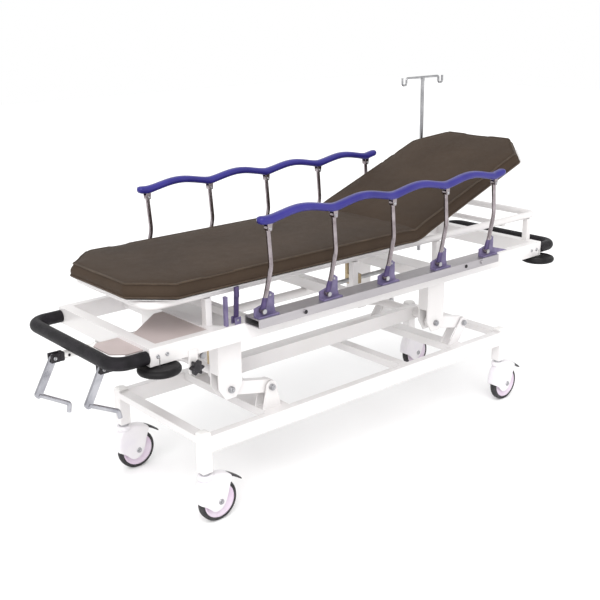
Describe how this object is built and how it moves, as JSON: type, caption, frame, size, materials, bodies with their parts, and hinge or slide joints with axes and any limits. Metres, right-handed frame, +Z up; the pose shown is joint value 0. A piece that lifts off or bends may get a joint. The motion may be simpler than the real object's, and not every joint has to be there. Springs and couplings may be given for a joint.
{
  "type": "stretcher trolley",
  "caption": "Height-adjustable patient stretcher trolley with raised backrest, folding side rails, push handles, drip pole and braked castors.",
  "frame": {"origin": "centre of the whole trolley's footprint, on the floor", "axes": "+X towards the head end, +Y to the far side where the drip pole stands, +Z up"},
  "size_m": [2.3499, 0.756, 1.371],
  "materials": {
    "frame_white": "satin",
    "cap_white": "satin",
    "cover_tan": "satin",
    "steel_pin": "satin",
    "castor_shell": "satin",
    "tyre_black": "matte",
    "wheel_core": "satin",
    "brake_black": "satin",
    "handle_black": "matte",
    "bumper_black": "matte",
    "knob_black": "satin",
    "channel_grey": "satin",
    "bracket_lilac": "satin",
    "post_chrome": "polished",
    "rail_blue": "gloss",
    "latch_violet": "satin",
    "screw_steel": "satin",
    "crank_chrome": "polished",
    "nut_brass": "satin",
    "mattress_cover": "satin",
    "pole_chrome": "polished"
  },
  "bodies": {
    "base": {"base_frame": "frame_white", "leg_caps": "cap_white", "castor_stems": "steel_pin", "base_pins": "steel_pin"},
    "castor_near_foot": {"fork_near_foot": "castor_shell"},
    "castor_wheel_near_foot": {"tyre_near_foot": "tyre_black", "wheel_near_foot": "wheel_core"},
    "castor_brake_near_foot": {"brake_near_foot": "brake_black"},
    "castor_far_foot": {"fork_far_foot": "castor_shell"},
    "castor_wheel_far_foot": {"tyre_far_foot": "tyre_black", "wheel_far_foot": "wheel_core"},
    "castor_brake_far_foot": {"brake_far_foot": "brake_black"},
    "castor_near_head": {"fork_near_head": "castor_shell"},
    "castor_wheel_near_head": {"tyre_near_head": "tyre_black", "wheel_near_head": "wheel_core"},
    "castor_brake_near_head": {"brake_near_head": "brake_black"},
    "castor_far_head": {"fork_far_head": "castor_shell"},
    "castor_wheel_far_head": {"tyre_far_head": "tyre_black", "wheel_far_head": "wheel_core"},
    "castor_brake_far_head": {"brake_far_head": "brake_black"},
    "foot_arm": {"foot_lift_arm": "frame_white"},
    "head_arm": {"head_lift_arm": "frame_white"},
    "tie": {"tie_bar": "frame_white"},
    "upper": {"upper_frame": "frame_white", "frame_brackets": "frame_white", "frame_covers": "cover_tan", "frame_pins": "steel_pin", "foot_handle": "handle_black", "head_handle": "handle_black", "side_channels": "channel_grey", "post_brackets": "bracket_lilac", "platform_frame": "frame_white", "mattress_seat": "mattress_cover", "iv_socket": "steel_pin"},
    "bumper_foot": {"bumper_foot": "bumper_black"},
    "bumper_head": {"bumper_head": "bumper_black"},
    "side_knob": {"side_knob": "knob_black"},
    "height_shaft": {"height_shaft": "screw_steel"},
    "height_handle": {"height_handle": "crank_chrome"},
    "height_nut": {"height_nut": "nut_brass"},
    "back_shaft": {"back_shaft": "screw_steel"},
    "back_handle": {"back_handle": "crank_chrome"},
    "back_nut": {"back_nut": "nut_brass"},
    "backrest": {"backrest_frame": "frame_white", "mattress_back": "mattress_cover"},
    "near_post_1": {"near_post_1": "post_chrome"},
    "near_post_2": {"near_post_2": "post_chrome"},
    "near_post_3": {"near_post_3": "post_chrome"},
    "near_post_4": {"near_post_4": "post_chrome"},
    "near_post_5": {"near_post_5": "post_chrome"},
    "near_rail": {"near_rail": "rail_blue"},
    "near_latch": {"near_latch": "latch_violet"},
    "far_post_1": {"far_post_1": "post_chrome"},
    "far_post_2": {"far_post_2": "post_chrome"},
    "far_post_3": {"far_post_3": "post_chrome"},
    "far_post_4": {"far_post_4": "post_chrome"},
    "far_post_5": {"far_post_5": "post_chrome"},
    "far_rail": {"far_rail": "rail_blue"},
    "far_latch": {"far_latch": "latch_violet"},
    "iv_pole": {"iv_pole": "pole_chrome"}
  },
  "joints": [
    {"name": "castor_near_foot_swivel", "type": "hinge", "parent": "base", "child": "castor_near_foot", "pos_m": [-0.74, -0.265, 0.175], "axis": [0, 0, 1], "continuous": true},
    {"name": "wheel_near_foot_spin", "type": "hinge", "parent": "castor_near_foot", "child": "castor_wheel_near_foot", "pos_m": [-0.695, -0.265, 0.075], "axis": [0, 1, 0], "continuous": true},
    {"name": "brake_near_foot_press", "type": "hinge", "parent": "castor_near_foot", "child": "castor_brake_near_foot", "pos_m": [-0.665, -0.265, 0.16], "axis": [0, 1, 0], "range_deg": [0, 10]},
    {"name": "castor_far_foot_swivel", "type": "hinge", "parent": "base", "child": "castor_far_foot", "pos_m": [-0.74, 0.265, 0.175], "axis": [0, 0, 1], "continuous": true},
    {"name": "wheel_far_foot_spin", "type": "hinge", "parent": "castor_far_foot", "child": "castor_wheel_far_foot", "pos_m": [-0.695, 0.265, 0.075], "axis": [0, 1, 0], "continuous": true},
    {"name": "brake_far_foot_press", "type": "hinge", "parent": "castor_far_foot", "child": "castor_brake_far_foot", "pos_m": [-0.665, 0.265, 0.16], "axis": [0, 1, 0], "range_deg": [0, 10]},
    {"name": "castor_near_head_swivel", "type": "hinge", "parent": "base", "child": "castor_near_head", "pos_m": [0.82, -0.265, 0.175], "axis": [0, 0, 1], "continuous": true},
    {"name": "wheel_near_head_spin", "type": "hinge", "parent": "castor_near_head", "child": "castor_wheel_near_head", "pos_m": [0.865, -0.265, 0.075], "axis": [0, 1, 0], "continuous": true},
    {"name": "brake_near_head_press", "type": "hinge", "parent": "castor_near_head", "child": "castor_brake_near_head", "pos_m": [0.895, -0.265, 0.16], "axis": [0, 1, 0], "range_deg": [0, 10]},
    {"name": "castor_far_head_swivel", "type": "hinge", "parent": "base", "child": "castor_far_head", "pos_m": [0.82, 0.265, 0.175], "axis": [0, 0, 1], "continuous": true},
    {"name": "wheel_far_head_spin", "type": "hinge", "parent": "castor_far_head", "child": "castor_wheel_far_head", "pos_m": [0.865, 0.265, 0.075], "axis": [0, 1, 0], "continuous": true},
    {"name": "brake_far_head_press", "type": "hinge", "parent": "castor_far_head", "child": "castor_brake_far_head", "pos_m": [0.895, 0.265, 0.16], "axis": [0, 1, 0], "range_deg": [0, 10]},
    {"name": "foot_arm_lift", "type": "hinge", "parent": "base", "child": "foot_arm", "pos_m": [-0.423, 0, 0.405], "axis": [0, 1, 0], "range_deg": [-24.2, 42.3]},
    {"name": "frame_level", "type": "hinge", "parent": "foot_arm", "child": "upper", "pos_m": [-0.6, 0, 0.445], "axis": [0, 1, 0], "range_deg": [-42.3, 24.2]},
    {"name": "head_arm_lift", "type": "hinge", "parent": "base", "child": "head_arm", "pos_m": [0.611, 0, 0.405], "axis": [0, 1, 0], "range_deg": [-24.2, 42.3]},
    {"name": "tie_bar_level", "type": "hinge", "parent": "foot_arm", "child": "tie", "pos_m": [-0.5115, -0.03, 0.425], "axis": [0, 1, 0], "range_deg": [-42.3, 24.2]},
    {"name": "height_nut_travel", "type": "slide", "parent": "upper", "child": "height_nut", "axis": [1, 0, 0], "range_m": [-0.0486, 0.0849]},
    {"name": "height_crank_turn", "type": "hinge", "parent": "upper", "child": "height_shaft", "pos_m": [-0.9, -0.153, 0.612], "axis": [1, 0, 0], "range_deg": [-75, 75]},
    {"name": "height_handle_fold", "type": "hinge", "parent": "height_shaft", "child": "height_handle", "pos_m": [-1.032, -0.153, 0.612], "axis": [0, 1, 0], "range_deg": [-30, 75]},
    {"name": "back_crank_turn", "type": "hinge", "parent": "upper", "child": "back_shaft", "pos_m": [-0.9, 0.04, 0.612], "axis": [1, 0, 0], "range_deg": [-55, 75]},
    {"name": "back_handle_fold", "type": "hinge", "parent": "back_shaft", "child": "back_handle", "pos_m": [-1.1, 0.04, 0.612], "axis": [0, 1, 0], "range_deg": [-30, 150]},
    {"name": "backrest_lift", "type": "hinge", "parent": "upper", "child": "backrest", "pos_m": [0.268, 0, 0.806], "axis": [0, -1, 0], "range_deg": [-20.5, 34.5]},
    {"name": "back_nut_travel", "type": "slide", "parent": "upper", "child": "back_nut", "axis": [1, 0, 0], "range_m": [-0.0519, 0.0873]},
    {"name": "bumper_foot_spin", "type": "hinge", "parent": "upper", "child": "bumper_foot", "pos_m": [-0.908, -0.29, 0.617], "axis": [0, 0, 1], "continuous": true},
    {"name": "bumper_head_spin", "type": "hinge", "parent": "upper", "child": "bumper_head", "pos_m": [1.031, -0.29, 0.617], "axis": [0, 0, 1], "continuous": true},
    {"name": "side_knob_turn", "type": "hinge", "parent": "upper", "child": "side_knob", "pos_m": [-0.786, -0.315, 0.596], "axis": [0, 1, 0], "continuous": true},
    {"name": "near_post_1_fold", "type": "hinge", "parent": "upper", "child": "near_post_1", "pos_m": [-0.549, -0.358, 0.742], "axis": [0, 1, 0], "range_deg": [0, 74]},
    {"name": "near_post_2_fold", "type": "hinge", "parent": "upper", "child": "near_post_2", "pos_m": [-0.2655, -0.358, 0.742], "axis": [0, 1, 0], "range_deg": [0, 74]},
    {"name": "near_post_3_fold", "type": "hinge", "parent": "upper", "child": "near_post_3", "pos_m": [0.018, -0.358, 0.742], "axis": [0, 1, 0], "range_deg": [0, 74]},
    {"name": "near_post_4_fold", "type": "hinge", "parent": "upper", "child": "near_post_4", "pos_m": [0.3015, -0.358, 0.742], "axis": [0, 1, 0], "range_deg": [0, 74]},
    {"name": "near_post_5_fold", "type": "hinge", "parent": "upper", "child": "near_post_5", "pos_m": [0.585, -0.358, 0.742], "axis": [0, 1, 0], "range_deg": [0, 74]},
    {"name": "near_rail_level", "type": "hinge", "parent": "near_post_1", "child": "near_rail", "pos_m": [-0.519, -0.358, 1.012], "axis": [0, 1, 0], "range_deg": [-74, 0]},
    {"name": "near_latch_pull", "type": "hinge", "parent": "upper", "child": "near_latch", "pos_m": [-0.6, -0.281, 0.706], "axis": [0, 1, 0], "range_deg": [0, 20]},
    {"name": "far_post_1_fold", "type": "hinge", "parent": "upper", "child": "far_post_1", "pos_m": [-0.549, 0.358, 0.742], "axis": [0, 1, 0], "range_deg": [0, 74]},
    {"name": "far_post_2_fold", "type": "hinge", "parent": "upper", "child": "far_post_2", "pos_m": [-0.2655, 0.358, 0.742], "axis": [0, 1, 0], "range_deg": [0, 74]},
    {"name": "far_post_3_fold", "type": "hinge", "parent": "upper", "child": "far_post_3", "pos_m": [0.018, 0.358, 0.742], "axis": [0, 1, 0], "range_deg": [0, 74]},
    {"name": "far_post_4_fold", "type": "hinge", "parent": "upper", "child": "far_post_4", "pos_m": [0.3015, 0.358, 0.742], "axis": [0, 1, 0], "range_deg": [0, 74]},
    {"name": "far_post_5_fold", "type": "hinge", "parent": "upper", "child": "far_post_5", "pos_m": [0.585, 0.358, 0.742], "axis": [0, 1, 0], "range_deg": [0, 74]},
    {"name": "far_rail_level", "type": "hinge", "parent": "far_post_1", "child": "far_rail", "pos_m": [-0.519, 0.358, 1.012], "axis": [0, 1, 0], "range_deg": [-74, 0]},
    {"name": "far_latch_pull", "type": "hinge", "parent": "upper", "child": "far_latch", "pos_m": [-0.6, 0.281, 0.706], "axis": [0, 1, 0], "range_deg": [0, 20]},
    {"name": "iv_pole_lift", "type": "slide", "parent": "upper", "child": "iv_pole", "axis": [0, 0, 1], "range_m": [-0.18, 0.04]}
  ],
  "couplings": [
    {"joint": "frame_level", "follows": "foot_arm_lift", "ratio": -1},
    {"joint": "head_arm_lift", "follows": "foot_arm_lift", "ratio": 1},
    {"joint": "tie_bar_level", "follows": "foot_arm_lift", "ratio": -1},
    {"joint": "height_nut_travel", "follows": "foot_arm_lift", "m_per_rad": 0.1148},
    {"joint": "back_nut_travel", "follows": "backrest_lift", "m_per_rad": 0.1448},
    {"joint": "near_post_2_fold", "follows": "near_post_1_fold", "ratio": 1},
    {"joint": "near_post_3_fold", "follows": "near_post_1_fold", "ratio": 1},
    {"joint": "near_post_4_fold", "follows": "near_post_1_fold", "ratio": 1},
    {"joint": "near_post_5_fold", "follows": "near_post_1_fold", "ratio": 1},
    {"joint": "near_rail_level", "follows": "near_post_1_fold", "ratio": -1},
    {"joint": "far_post_2_fold", "follows": "far_post_1_fold", "ratio": 1},
    {"joint": "far_post_3_fold", "follows": "far_post_1_fold", "ratio": 1},
    {"joint": "far_post_4_fold", "follows": "far_post_1_fold", "ratio": 1},
    {"joint": "far_post_5_fold", "follows": "far_post_1_fold", "ratio": 1},
    {"joint": "far_rail_level", "follows": "far_post_1_fold", "ratio": -1}
  ]
}
